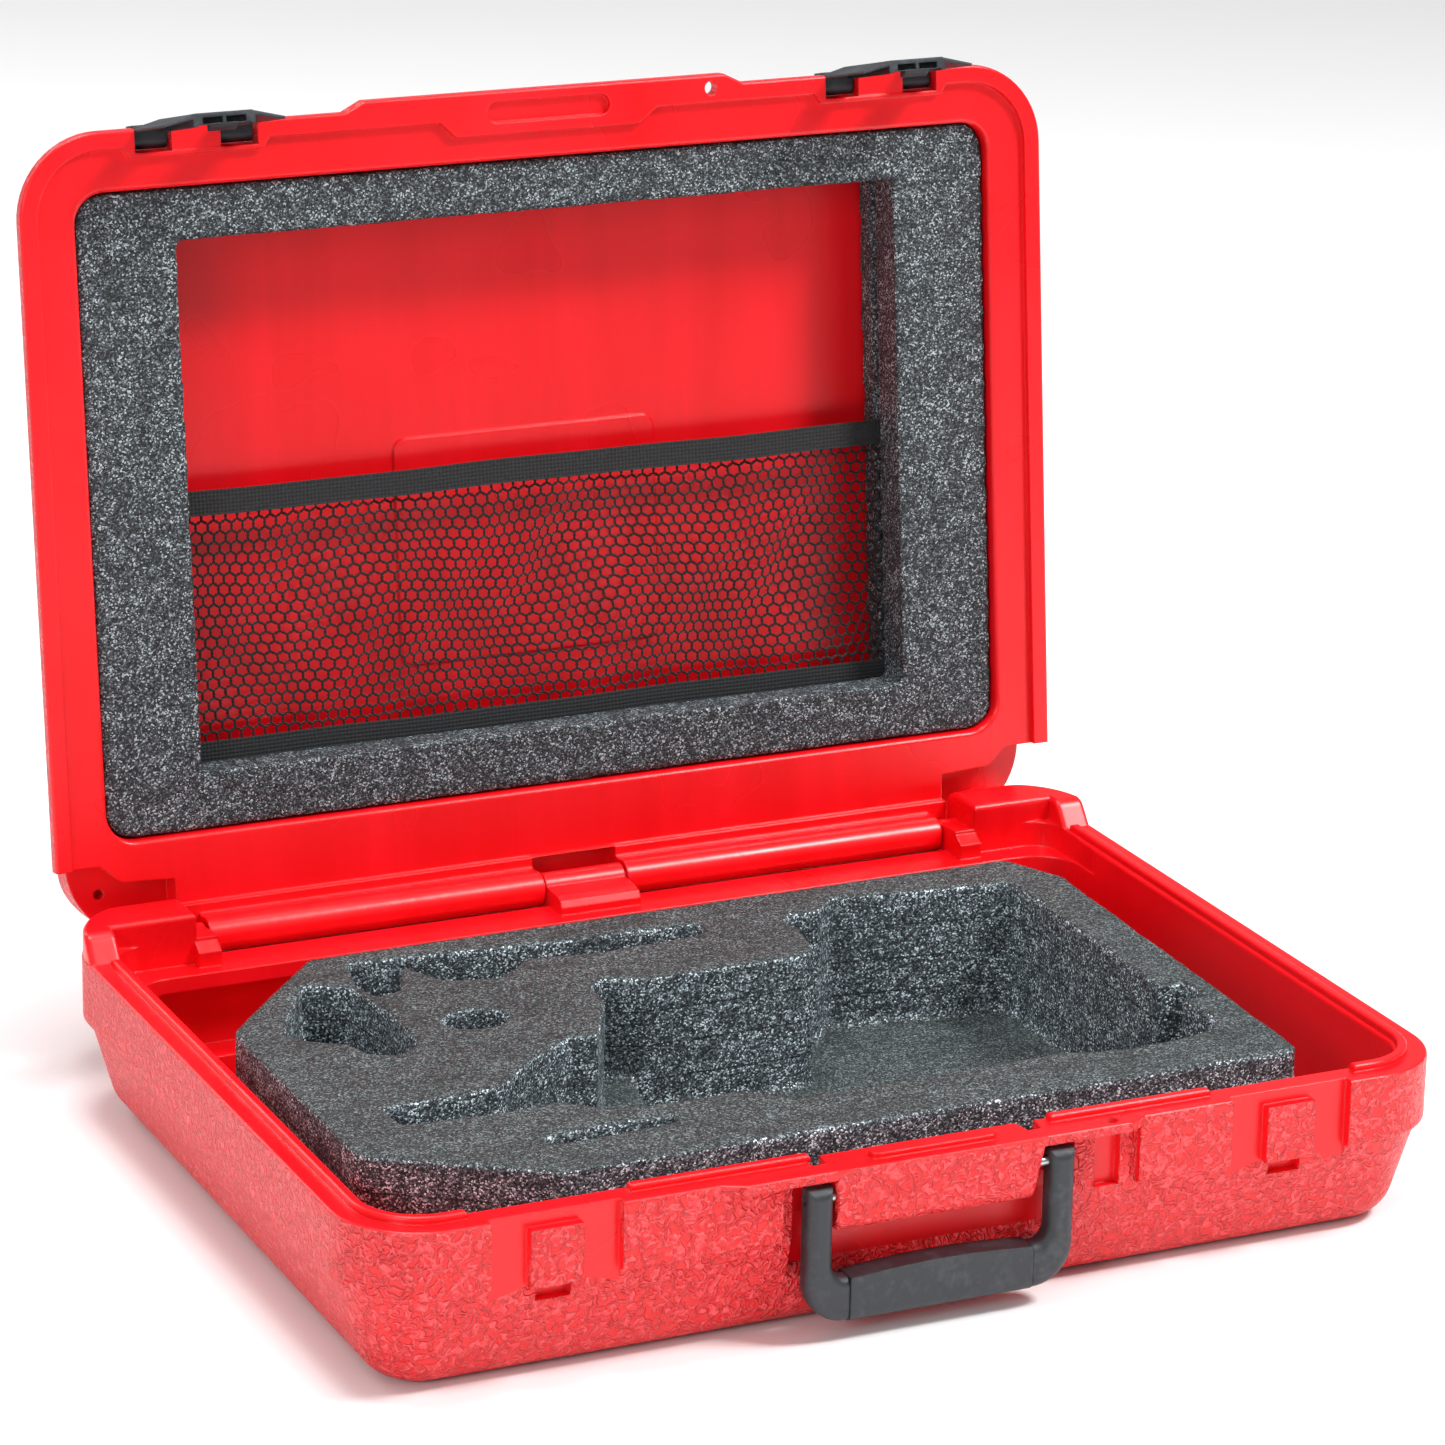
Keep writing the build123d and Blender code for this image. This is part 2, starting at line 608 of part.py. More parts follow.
# ---------------------------------------------------------------- lid foam and pocket
foam_x = 2 * (WINDOW_X - FOAM_GAP)
foam_y = WINDOW_REAR - WINDOW_FRONT - 2 * FOAM_GAP
foam_middle = (WINDOW_FRONT + WINDOW_REAR) / 2
LAYERS = (
    ("lid_foam_frame_front", LID_FOAM_FRONT, LID_FOAM_SPLIT - LID_FOAM_FRONT, 0.0),
    ("lid_foam_frame_rear", LID_FOAM_SPLIT + 3.4, LID_PANEL - LID_FOAM_SPLIT - 3.8, 1.0),
)
for name, start, thick, inset in LAYERS:
    with BuildPart() as foam_frame:
        with BuildSketch(LID.offset(start)):
            with Locations((0, foam_middle)):
                RectangleRounded(foam_x - 2 * inset, foam_y - 2 * inset, WINDOW_CORNER - 2)
            with Locations((0, (FOAM_WINDOW_FRONT + FOAM_WINDOW_REAR) / 2)):
                Rectangle(2 * FOAM_WINDOW_X, FOAM_WINDOW_REAR - FOAM_WINDOW_FRONT, mode=Mode.SUBTRACT)
        extrude(amount=thick)
    save(foam_frame, name)

with BuildPart() as pocket_mesh:
    with BuildSketch(LID.offset(LID_FOAM_SPLIT + 2.1)):
        with Locations((0, (POCKET_TOP + POCKET_BOTTOM + POCKET_BAND) / 2)):
            Rectangle(2 * FOAM_WINDOW_X + 14, POCKET_BOTTOM + POCKET_BAND - POCKET_TOP)
    extrude(amount=1.0)
save(pocket_mesh, "pocket_mesh")

for name, band_y in (("pocket_band_top", POCKET_TOP), ("pocket_band_bottom", POCKET_BOTTOM)):
    with BuildPart() as pocket_band:
        with BuildSketch(LID.offset(LID_FOAM_SPLIT + 0.2)):
            with Locations((0, band_y + POCKET_BAND / 2)):
                Rectangle(2 * FOAM_WINDOW_X + 18, POCKET_BAND)
        extrude(amount=1.6)
    save(pocket_band, name)

# ---------------------------------------------------------------- base foam
FOAM_OUTLINE = (
    (-162, 106), (-221, 38), (-222.5, 20), (-222.5, -105), (-219, -112),
    (-152, -156.5), (190, -153.5), (198.5, 76), (184, 106),
)
REAR_SLOT = (
    (-148, 94), (-105, 91), (-50, 85), (16, 83), (14, 70), (-40, 66), (-72, 71),
    (-93, 53), (-116, 60), (-127, 82), (-138, 56), (-150, 52), (-154, 68),
)
SHAPED_POCKET = (
    (-197, 41), (-185, 61), (-176, 76), (-158, 69), (-153, 35), (-154, -6),
    (-167, -14), (-178, -8), (-182, 6), (-196, 15), (-203, 24),
)
STEP_POCKET = (
    (-194, -66), (-194, -86), (-152, -89), (-124, -87), (-112, -99), (-97, -105),
    (-51, -105), (-36, 29), (-52, 35), (-60, 28), (-61, 10), (-80, -25), (-92, -23),
    (-118, -41), (-142, -64), (-169, -66),
)
MAIN_POCKET = (
    (-60, -105), (-51, -105), (-32, -121), (34, -121), (93, -118), (123, -125), (148, -123),
    (167, -118), (174, -110), (170, -58), (173, 51), (172, 77), (86, 89), (73, 77), (60, 78),
    (53, 70), (55, 57), (50, 32), (41, 28), (-40, 28),
)
NARROW_SLOT = ((-151, -121.5), (-142, -128.5), (-115, -127), (-87, -125), (-88, -118), (-120, -117.5))

for index in range(SHEET_COUNT):
    with BuildPart() as foam_sheet:
        low = -BASE_HEIGHT + FLOOR + 0.5 + PAD_THICK + 0.3 + index * SHEET_PITCH
        with BuildSketch(BASE.offset(low)):
            with BuildLine():
                FilletPolyline(*FOAM_OUTLINE, radius=6, close=True)
            make_face()
            pockets = [MAIN_POCKET]
            if index >= 1:
                pockets.append(STEP_POCKET)
            if index >= 2:
                pockets.append(REAR_SLOT)
                pockets.append(SHAPED_POCKET)
            if index >= 3:
                pockets.append(NARROW_SLOT)
            for outline in pockets:
                with BuildLine():
                    Polyline(*outline, close=True)
                make_face(mode=Mode.SUBTRACT)
            if index >= 1:
                with Locations((165, -74)):
                    Rectangle(36, 18, mode=Mode.SUBTRACT)
            if index >= 2:
                with Locations((-121, 12)):
                    Ellipse(15, 11, mode=Mode.SUBTRACT)
        extrude(amount=SHEET_THICK)
    save(foam_sheet, f"base_foam_sheet_{index + 1}")

with BuildPart() as foam_pad:
    with BuildSketch(BASE.offset(-BASE_HEIGHT + FLOOR + 0.5)):
        with BuildLine():
            FilletPolyline(*FOAM_OUTLINE, radius=6, close=True)
        make_face()
    extrude(amount=PAD_THICK)
save(foam_pad, "base_foam_pad")

# ---------------------------------------------------------------- handle
HANDLE = Plane((HANDLE_X, FRONT + HANDLE_FACE, BASE_HEIGHT), x_dir=(1, 0, 0), z_dir=(0, -1, 0))


def handle_outline(low, top):
    """The handle's U, as a loose sketch; the finger side of its grip is arched."""
    half = HANDLE_HALF - HANDLE_ARM
    with BuildSketch() as outline:
        with Locations((0, (low + top) / 2)):
            Rectangle(2 * HANDLE_HALF, top - low)
        with BuildLine():
            Line((-half, top + 1), (-half, HANDLE_INNER))
            ThreePointArc((-half, HANDLE_INNER), (0, HANDLE_INNER + HANDLE_ARCH), (half, HANDLE_INNER))
            Line((half, HANDLE_INNER), (half, top + 1))
            Line((half, top + 1), (-half, top + 1))
        make_face(mode=Mode.SUBTRACT)
        fillet(outline.vertices().group_by(Axis.Y)[0], HANDLE_CORNER)
        inner = outline.vertices().filter_by(lambda v: abs(v.Y - HANDLE_INNER) < 0.1)
        fillet(inner, 7)
    return outline.sketch


with BuildPart() as handle_bail:
    with BuildSketch(HANDLE):
        add(handle_outline(HANDLE_BOTTOM, HANDLE_TOP))
    extrude(amount=-HANDLE_THICK)
    fillet(handle_bail.faces().filter_by(Axis.Y).edges(), HANDLE_ROUND)
    with BuildSketch(side_plane(BASE, -HANDLE_HALF + HANDLE_X - 1)):
        eye = Vector(PIVOT_Y, PIVOT_Z)
        with Locations((eye.X, eye.Y + 10)):
            Rectangle(3 * HANDLE_THICK, 20)
        with Locations(eye):
            Circle(HANDLE_THICK / 2 + 0.1, mode=Mode.SUBTRACT)
    extrude(amount=2 * HANDLE_HALF + 2, mode=Mode.SUBTRACT)
    with BuildSketch(HANDLE.offset(1)):
        with Locations((0, HANDLE_BOTTOM + 9)):
            Rectangle(2 * GRIP_HALF, 40)
    extrude(amount=-HANDLE_THICK - 2, mode=Mode.SUBTRACT)
    with BuildSketch(side_plane(BASE, HANDLE_X - GRIP_HALF - 1)):
        with Locations((FRONT + HANDLE_FACE + HANDLE_THICK / 2, HANDLE_BOTTOM + 9.5)):
            Rectangle(GRIP_CORE_WIDTH, GRIP_CORE_HEIGHT)
    extrude(amount=2 * GRIP_HALF + 2)
    with BuildSketch(side_plane(BASE, -WIDTH / 2)):
        with Locations((PIVOT_Y, PIVOT_Z)):
            Circle(HANDLE_PIN_RADIUS + FIXED_GAP)
    extrude(amount=WIDTH, mode=Mode.SUBTRACT)
save(handle_bail, "handle_bail")

with BuildPart() as handle_grip:
    with BuildSketch(HANDLE.offset(0.4)):
        add(handle_outline(HANDLE_BOTTOM - 0.4, HANDLE_TOP - 20))
    extrude(amount=-HANDLE_THICK - 0.8)
    with BuildSketch(HANDLE.offset(2)):
        with Locations((0, HANDLE_BOTTOM + 9)):
            Rectangle(2 * (GRIP_HALF - 0.2), 36)
    extrude(amount=-HANDLE_THICK - 4, mode=Mode.INTERSECT)
    fillet(handle_grip.edges().filter_by(Axis.X), HANDLE_ROUND + 0.4)
    with BuildSketch(side_plane(BASE, HANDLE_X - GRIP_HALF)):
        with Locations((FRONT + HANDLE_FACE + HANDLE_THICK / 2, HANDLE_BOTTOM + 9.5)):
            Rectangle(GRIP_CORE_WIDTH + 0.2, GRIP_CORE_HEIGHT + 0.2)
    extrude(amount=2 * GRIP_HALF, mode=Mode.SUBTRACT)
save(handle_grip, "handle_grip")

arm_outer = HANDLE_HALF - 1.0
for side, pin_start in (
    ("left", HANDLE_X - arm_outer),
    ("right", HANDLE_X + arm_outer - 24),
):
    with BuildPart() as handle_pin:
        with BuildSketch(side_plane(BASE, pin_start)):
            with Locations((PIVOT_Y, PIVOT_Z)):
                Circle(HANDLE_PIN_RADIUS)
        extrude(amount=24)
        chamfer(handle_pin.edges().filter_by(GeomType.CIRCLE), 0.3)
    save(handle_pin, f"handle_pin_{side}")

# ---------------------------------------------------------------- latches
for side, latch_x in (("left", -LATCH_X), ("right", LATCH_X)):
    latch_frame = turned_frame(latch_x, LATCH_PIN_Y, LATCH_PIN_Z, LATCH_TILT)
    with BuildPart() as latch:
        # Cover plate with sloping wings
        with BuildSketch(latch_frame.offset(LATCH_BOTTOM)):
            with BuildLine():
                Polyline(
                    (-LATCH_HALF, -4.6),
                    (-LATCH_CORE, LATCH_FACE),
                    (LATCH_CORE, LATCH_FACE),
                    (LATCH_HALF, -4.6),
                    (LATCH_HALF, -3.4),
                    (LATCH_CORE, LATCH_FACE + LATCH_SKIN),
                    (-LATCH_CORE, LATCH_FACE + LATCH_SKIN),
                    (-LATCH_HALF, -3.4),
                    close=True,
                )
            make_face()
        extrude(amount=LATCH_TOP - LATCH_BOTTOM)
        # Window over the two lugs
        with BuildSketch(latch_frame.offset(LUG_BOTTOM - LATCH_PIN_Z - 0.4)):
            with Locations((0, LATCH_FACE)):
                Rectangle(2 * LATCH_CORE, 8)
        extrude(amount=-LUG_BOTTOM + LATCH_PIN_Z - 3.2, mode=Mode.SUBTRACT)
        # Ribs that stiffen the window's sides
        for hand in (-1, 1):
            with BuildSketch(latch_frame.offset(LATCH_BOTTOM)):
                with Locations((hand * (LATCH_CORE + 1.2), LATCH_FACE + 3.4)):
                    Rectangle(2, 5.2)
            extrude(amount=LATCH_TOP - LATCH_BOTTOM)
        # Pull box with a centre rib under the base's lug
        with BuildSketch(latch_frame.offset(LATCH_BOTTOM)):
            with Locations((0, LATCH_FACE + 2.6)):
                Rectangle(2 * LATCH_CORE + 2, 5.2)
            with Locations((-5.4, LATCH_FACE + 3.2), (5.4, LATCH_FACE + 3.2)):
                Rectangle(9.2, 3.2, mode=Mode.SUBTRACT)
        extrude(amount=5.5)
        with BuildSketch(latch_frame.offset(LATCH_BOTTOM + 5.5)):
            with Locations((0, LATCH_FACE + 2.6)):
                Rectangle(2 * LATCH_CORE + 2, 5.2)
        extrude(amount=1.4)
        # Hook nose that drops into the pocket under the lug
        with BuildSketch(side_plane(latch_frame, -6.2)):
            with BuildLine():
                Polyline(
                    (LATCH_FACE + 4.6, -42.0),
                    (-1.0, -41.6),
                    (-0.6, -42.6),
                    (-2.2, -46.2),
                    (LATCH_FACE + 4.6, -46.8),
                    close=True,
                )
            make_face()
        extrude(amount=12.4)
        # Hinge eyes on each side of the lid's lug
        for eye_x in (-LATCH_HALF, LUG_HALF + 0.6):
            with BuildSketch(side_plane(latch_frame, eye_x)):
                Circle(LATCH_BARREL)
                with Locations((LATCH_FACE / 2 + 0.8, 0)):
                    Rectangle(-LATCH_FACE - 2.6, 2 * LATCH_BARREL)
            extrude(amount=LATCH_HALF - LUG_HALF - 0.6)
        with BuildSketch(side_plane(latch_frame, -LATCH_HALF - 1)):
            Circle(LATCH_PIN_RADIUS + RUNNING_GAP)
        extrude(amount=2 * LATCH_HALF + 2, mode=Mode.SUBTRACT)
    save(latch, f"latch_{side}")

    with BuildPart() as latch_pin:
        with BuildSketch(along_x(latch_frame, 0, 0, -LATCH_HALF + 1)):
            Circle(LATCH_PIN_RADIUS)
        extrude(amount=2 * LATCH_HALF - 2)
        chamfer(latch_pin.edges().filter_by(GeomType.CIRCLE), 0.2)
    save(latch_pin, f"latch_pin_{side}")
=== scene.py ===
import json
import logging
import math
from dataclasses import dataclass, field
from enum import Enum
from typing import Callable, Optional, Sequence

import bpy
from mathutils import Matrix, Vector


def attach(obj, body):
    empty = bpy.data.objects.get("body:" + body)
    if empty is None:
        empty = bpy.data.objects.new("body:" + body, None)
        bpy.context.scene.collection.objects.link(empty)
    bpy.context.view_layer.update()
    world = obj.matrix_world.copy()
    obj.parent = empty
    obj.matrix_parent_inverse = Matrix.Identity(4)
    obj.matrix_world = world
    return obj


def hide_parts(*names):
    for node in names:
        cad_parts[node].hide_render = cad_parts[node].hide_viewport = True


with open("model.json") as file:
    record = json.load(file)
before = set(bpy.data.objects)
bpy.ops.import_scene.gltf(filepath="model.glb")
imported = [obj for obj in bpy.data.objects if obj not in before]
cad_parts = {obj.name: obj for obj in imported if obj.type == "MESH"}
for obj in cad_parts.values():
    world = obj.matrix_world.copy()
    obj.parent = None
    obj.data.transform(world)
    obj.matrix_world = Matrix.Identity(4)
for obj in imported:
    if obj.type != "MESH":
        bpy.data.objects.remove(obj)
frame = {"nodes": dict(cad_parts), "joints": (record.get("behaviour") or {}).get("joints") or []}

LOG = logging.getLogger("carrying_case")
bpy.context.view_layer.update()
MM = 0.001

Triple = tuple[float, float, float]
Colour = tuple[float, float, float, float]
Stop = tuple[float, Colour]

WELD = 0.02 * MM         # corners of a CAD mesh closer than this are one corner
FLAT_ANGLE = 0.5         # faces that meet under this many degrees are one face
HALF = 0.5               # middle of a noise value


class Wall(Enum):
    """Which finish a face of a moulded shell takes."""

    GRAINED = 0
    SATIN = 1


class Facing(Enum):
    """Way round of a foam piece, which sets how its cut walls are shaded."""

    FLAT = "flat"
    UPRIGHT = "upright"


# ------------------------------------------------------------------ work with operators
def deselect() -> None:
    """Leave object mode on and nothing selected."""
    active = bpy.context.view_layer.objects.active
    if active and active.mode != "OBJECT":
        bpy.ops.object.mode_set(mode="OBJECT")
    bpy.ops.object.select_all(action="DESELECT")


def take(piece: bpy.types.Object) -> bpy.types.Object:
    """Make one piece the only selected and active one.

    Args:
        piece: The object to work on.

    Returns:
        The same object.
    """
    deselect()
    piece.select_set(True)
    bpy.context.view_layer.objects.active = piece
    return piece


def settle(piece: bpy.types.Object, name: str) -> bpy.types.Object:
    """Name a piece and move its place, turn and size into its mesh.

    Args:
        piece: The object to finish.
        name: Its new name.

    Returns:
        The same object.
    """
    take(piece)
    piece.name = name
    piece.data.name = name
    bpy.ops.object.transform_apply(location=True, rotation=True, scale=True)
    return piece


def run_modifier(piece: bpy.types.Object, kind: str, **settings: object) -> None:
    """Add a modifier to a piece and apply it.

    Args:
        piece: The object to change.
        kind: Blender's name of the modifier type.
        **settings: Values to set on the modifier.
    """
    take(piece)
    modifier = piece.modifiers.new(kind.title(), kind)
    for key, value in settings.items():
        setattr(modifier, key, value)
    bpy.ops.object.modifier_apply(modifier=modifier.name)


def copy_of_node(node: str, name: str) -> bpy.types.Object:
    """Copy a CAD node's mesh into a new piece and join up its loose triangles.

    Args:
        node: The CAD node's name.
        name: The new piece's name.

    Returns:
        The new piece, with no material.
    """
    mesh = frame["nodes"][node].data.copy()
    mesh.materials.clear()
    piece = bpy.data.objects.new(name, mesh)
    bpy.context.scene.collection.objects.link(piece)
    mesh.name = name
    take(piece)
    bpy.ops.object.mode_set(mode="EDIT")
    bpy.ops.mesh.select_all(action="SELECT")
    bpy.ops.mesh.remove_doubles(threshold=WELD)
    bpy.ops.mesh.dissolve_limited(angle_limit=math.radians(FLAT_ANGLE))
    bpy.ops.object.mode_set(mode="OBJECT")
    return piece


def smooth(piece: bpy.types.Object, angle: float = 35.0) -> None:
    """Shade a piece smooth wherever its faces meet under an angle.

    Args:
        piece: The object to shade.
        angle: The sharpest smooth angle, in degrees.
    """
    take(piece)
    bpy.ops.object.shade_smooth_by_angle(angle=math.radians(angle))


def dress(piece: bpy.types.Object, material: bpy.types.Material) -> None:
    """Give a piece one material in place of those it has."""
    piece.data.materials.clear()
    piece.data.materials.append(material)


@dataclass(frozen=True)
class Hinge:
    """The lid's hinge, which turns places in the shut lid into places in the row frame."""

    place: Triple
    opened: float
    rim: float = 75 * MM

    @classmethod
    def of_frame(cls) -> "Hinge":
        """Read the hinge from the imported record's joints."""
        joint = next(j for j in frame["joints"] if j["name"] == "lid_hinge")
        return cls(tuple(joint["pos_m"]), math.radians(joint["range_deg"][1]))

    def matrix(self) -> Matrix:
        """Matrix that takes a place in the shut lid, its height counted from the rim, to the open lid."""
        there = Matrix.Translation(Vector(self.place))
        turn = Matrix.Rotation(-self.opened, 4, "X")
        back = Matrix.Translation(-Vector(self.place))
        return there @ turn @ back @ Matrix.Translation((0, 0, self.rim))

    def hang(self, piece: bpy.types.Object) -> bpy.types.Object:
        """Take a piece made in the shut lid's place to where the open lid holds it."""
        piece.data.transform(self.matrix())
        return piece


HINGE = Hinge.of_frame()


# ------------------------------------------------------------------ finishes
class Board:
    """One material's node tree, with short calls that add and join nodes."""

    def __init__(self, name: str) -> None:
        """Start a material with a Principled shader and Object coordinates.

        Args:
            name: The material's name.
        """
        self.material = bpy.data.materials.new(name)
        self.material.use_nodes = True
        self.tree = self.material.node_tree
        self.tree.nodes.clear()
        self.shader = self.node("ShaderNodeBsdfPrincipled")
        output = self.node("ShaderNodeOutputMaterial")
        self.tree.links.new(self.shader.outputs["BSDF"], output.inputs["Surface"])
        self.place = self.node("ShaderNodeTexCoord").outputs["Object"]

    def node(self, kind: str, links: Optional[dict] = None, **values: object) -> bpy.types.Node:
        """Add a node.

        Args:
            kind: The node's type.
            links: Output sockets to join, by the name or number of the input.
            **values: Node settings and input values; an underscore stands for a space.

        Returns:
            The new node.
        """
        made = self.tree.nodes.new(kind)
        for key, value in values.items():
            if hasattr(made, key):
                setattr(made, key, value)
            else:
                made.inputs[key.replace("_", " ")].default_value = value
        for key, socket in (links or {}).items():
            self.tree.links.new(socket, made.inputs[key])
        return made

    def stretched(self, scale: Triple, turn: Triple = (0.0, 0.0, 0.0)) -> bpy.types.NodeSocket:
        """Object coordinates, turned and scaled."""
        mapping = self.node("ShaderNodeMapping", {"Vector": self.place})
        mapping.inputs["Scale"].default_value = scale
        mapping.inputs["Rotation"].default_value = turn
        return mapping.outputs["Vector"]

    def noise(self, scale: float, detail: float = 3.0, rough: float = 0.5, distort: float = 0.0,
              where: Optional[bpy.types.NodeSocket] = None) -> bpy.types.NodeSocket:
        """Noise value, from 0 to 1."""
        made = self.node("ShaderNodeTexNoise", {"Vector": where or self.place}, Scale=scale, Detail=detail,
                         Roughness=rough, Distortion=distort)
        return made.outputs["Fac"]

    def cells(self, scale: float, output: str = "Distance") -> bpy.types.NodeSocket:
        """Voronoi cells: their distance or colour."""
        made = self.node("ShaderNodeTexVoronoi", {"Vector": self.place}, feature="F1")
        made.inputs["Scale"].default_value = scale
        return made.outputs[output]

    def sum(self, kind: str, first: object, second: object) -> bpy.types.NodeSocket:
        """Join two values, each a socket or a number, by a Math node."""
        made = self.node("ShaderNodeMath", operation=kind)
        for index, value in enumerate((first, second)):
            if isinstance(value, (int, float)):
                made.inputs[index].default_value = value
            else:
                self.tree.links.new(value, made.inputs[index])
        return made.outputs[0]

    def ramp(self, value: bpy.types.NodeSocket,
             stops: Sequence[Stop]) -> bpy.types.NodeSocket:
        """Colour ramp over a value."""
        made = self.node("ShaderNodeValToRGB", {"Fac": value})
        band = made.color_ramp
        while len(band.elements) < len(stops):
            band.elements.new(0.5)
        for element, (place, colour) in zip(band.elements, stops):
            element.position = place
            element.color = colour
        return made.outputs["Color"]

    def level(self, value: bpy.types.NodeSocket, low: float, high: float,
              start: float = 0.0, end: float = 1.0) -> bpy.types.NodeSocket:
        """Value from start to end taken to the range from low to high."""
        made = self.node("ShaderNodeMapRange", {"Value": value})
        for key, number in (("From Min", start), ("From Max", end), ("To Min", low), ("To Max", high)):
            made.inputs[key].default_value = number
        return made.outputs["Result"]

    def blend(self, share: bpy.types.NodeSocket, first: object, second: object,
              how: str = "MIX") -> bpy.types.NodeSocket:
        """Mix two colours, each a socket or a colour, by a share."""
        made = self.node("ShaderNodeMix", data_type="RGBA", blend_type=how)
        self.tree.links.new(share, made.inputs[0])
        for index, value in ((6, first), (7, second)):
            if isinstance(value, tuple):
                made.inputs[index].default_value = value
            else:
                self.tree.links.new(value, made.inputs[index])
        return made.outputs[2]

    def bump(self, height: bpy.types.NodeSocket, distance: float, strength: float = 1.0,
             under: Optional[bpy.types.NodeSocket] = None) -> bpy.types.NodeSocket:
        """Bumped normal from a height, in metres."""
        made = self.node("ShaderNodeBump", {"Height": height}, Strength=strength, Distance=distance)
        if under is not None:
            self.tree.links.new(under, made.inputs["Normal"])
        return made.outputs["Normal"]

    def rounded(self, radius: float) -> bpy.types.NodeSocket:
        """Normal that rounds sharp moulded edges."""
        return self.node("ShaderNodeBevel", samples=4, Radius=radius).outputs["Normal"]

    def facing(self, axis: str) -> bpy.types.NodeSocket:
        """How much a face looks along an axis of the piece, without sign."""
        turned = self.node("ShaderNodeNewGeometry").outputs["True Normal"]
        local = self.node("ShaderNodeVectorTransform", {"Vector": turned}, vector_type="NORMAL",
                          convert_from="WORLD", convert_to="OBJECT")
        split = self.node("ShaderNodeSeparateXYZ", {"Vector": local.outputs["Vector"]})
        return self.sum("ABSOLUTE", split.outputs[axis], 0.0)

    def finish(self, colour: object = None, rough: object = None,
               normal: Optional[bpy.types.NodeSocket] = None, **values: float) -> bpy.types.Material:
        """Set the shader's colour, roughness, normal and plain values.

        Args:
            colour: A socket or a colour.
            rough: A socket or a number.
            normal: The normal's socket.
            **values: Shader inputs with a number each; an underscore stands for a space.

        Returns:
            The finished material.
        """
        for key, value in (("Base Color", colour), ("Roughness", rough)):
            if isinstance(value, bpy.types.NodeSocket):
                self.tree.links.new(value, self.shader.inputs[key])
            elif value is not None:
                self.shader.inputs[key].default_value = value
        if normal is not None:
            self.tree.links.new(normal, self.shader.inputs["Normal"])
        for key, value in values.items():
            self.shader.inputs[key.replace("_", " ")].default_value = value
        return self.material


@dataclass(frozen=True)
class MouldedRed:
    """Red moulded polyethylene, satin inside and leather-grained outside."""

    colour: Colour = (0.90, 0.005, 0.012, 1.0)
    deep: Colour = (0.78, 0.002, 0.005, 1.0)
    # pale pink: painted highlight on the grain's ridge crests, and the real colour of scuffs on the satin
    scuff_and_highlight: Colour = (0.95, 0.085, 0.095, 1.0)
    edge: float = 1.3 * MM
    worm_scale: float = 235.0
    worm_width: float = 0.13
    crest_sharpness: float = 2.5
    grain_depth: float = 0.95 * MM
    peel_depth: float = 0.22 * MM

    def satin(self) -> bpy.types.Material:
        """Smooth inner face with a slight orange peel, flow streaks and faint scuffs."""
        board = Board("red_satin")
        streak = board.noise(9.0, 4.0, 0.6, 0.4, board.stretched((3.0, 1.0, 0.35)))
        peel = board.noise(140.0, 2.0)
        drift = board.noise(14.0, 2.0)
        total = board.sum("ADD", board.sum("MULTIPLY", streak, 2.5), board.sum("MULTIPLY", peel, 0.25))
        total = board.sum("ADD", total, board.sum("MULTIPLY", drift, 1.5))
        normal = board.bump(total, self.peel_depth, 0.6, board.rounded(self.edge))
        colour = board.blend(board.level(streak, 0.0, 1.0, 0.35, 0.7), self.deep, self.colour)
        scuff = board.level(board.noise(420.0, 2.0, 0.6), 0.0, 0.10, 0.70, 0.80)
        colour = board.blend(scuff, colour, self.scuff_and_highlight)
        rough = board.level(drift, 0.25, 0.34, 0.3, 0.7)
        return board.finish(colour, rough, normal, Specular_IOR_Level=0.45)

    def grained(self) -> bpy.types.Material:
        """Outer face with a leather grain of short, winding ridges and a painted pale highlight on their
        crests.
        """
        board = Board("red_grained")
        wander = board.noise(self.worm_scale, 1.2, 0.5, 0.9)
        off_line = board.sum("ABSOLUTE", board.sum("SUBTRACT", wander, HALF), 0.0)
        ridge = board.level(off_line, 1.0, 0.0, 0.0, self.worm_width)
        fine = board.noise(1700.0, 3.0, 0.6)
        height = board.sum("ADD", ridge, board.sum("MULTIPLY", fine, 0.35))
        normal = board.bump(height, self.grain_depth, 1.0, board.rounded(self.edge))
        # share of the painted highlight: the ridge crests are coloured pale whatever the lamps do
        scuff_and_highlight = board.sum("POWER", ridge, self.crest_sharpness)
        colour = board.blend(scuff_and_highlight, self.deep, self.scuff_and_highlight)
        return board.finish(colour, board.level(fine, 0.28, 0.44), normal, Specular_IOR_Level=0.6)


